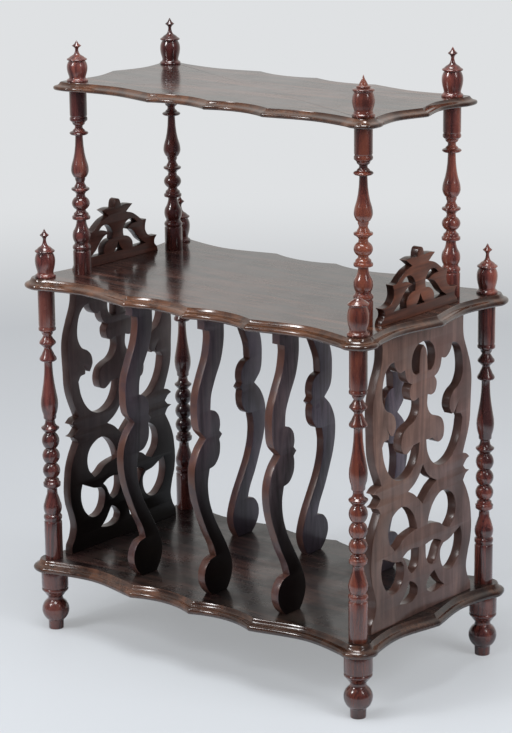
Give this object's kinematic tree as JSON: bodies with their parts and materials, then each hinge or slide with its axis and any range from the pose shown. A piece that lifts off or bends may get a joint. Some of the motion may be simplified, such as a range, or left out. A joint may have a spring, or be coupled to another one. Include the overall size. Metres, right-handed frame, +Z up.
{
  "type": "etagere",
  "caption": "Tiered wooden etagere with turned columns and finials, scalloped shelves, fretted sides and S-scroll dividers that make a magazine rack below.",
  "frame": {"origin": "centre of the footprint at floor level", "axes": "+Z up, front towards -Y, the viewer's right hand towards +X"},
  "size_m": [0.71, 0.407, 1.005],
  "materials": {
    "board": "polished dark red-brown",
    "turned": "polished dark red-brown",
    "fretted": "satin dark brown",
    "dowel": "bare"
  },
  "bodies": {
    "root": {"bottom_shelf": "board", "middle_shelf": "board", "top_shelf": "board", "foot_front_left": "turned", "foot_back_left": "turned", "foot_front_right": "turned", "foot_back_right": "turned", "lower_column_front_left": "turned", "lower_column_back_left": "turned", "lower_column_front_right": "turned", "lower_column_back_right": "turned", "middle_finial_front_left": "turned", "middle_finial_back_left": "turned", "middle_finial_front_right": "turned", "middle_finial_back_right": "turned", "upper_column_front_left": "turned", "upper_column_back_left": "turned", "upper_column_front_right": "turned", "upper_column_back_right": "turned", "top_finial_front_left": "turned", "top_finial_back_left": "turned", "top_finial_front_right": "turned", "top_finial_back_right": "turned", "gallery_dowel_front_left": "dowel", "gallery_dowel_back_left": "dowel", "gallery_dowel_front_right": "dowel", "gallery_dowel_back_right": "dowel", "side_panel_left": "fretted", "gallery_left": "fretted", "side_panel_right": "fretted", "gallery_right": "fretted", "scroll_left_front": "fretted", "scroll_left_back": "fretted", "scroll_middle_front": "fretted", "scroll_middle_back": "fretted", "scroll_right_front": "fretted", "scroll_right_back": "fretted"}
  },
  "joints": []
}
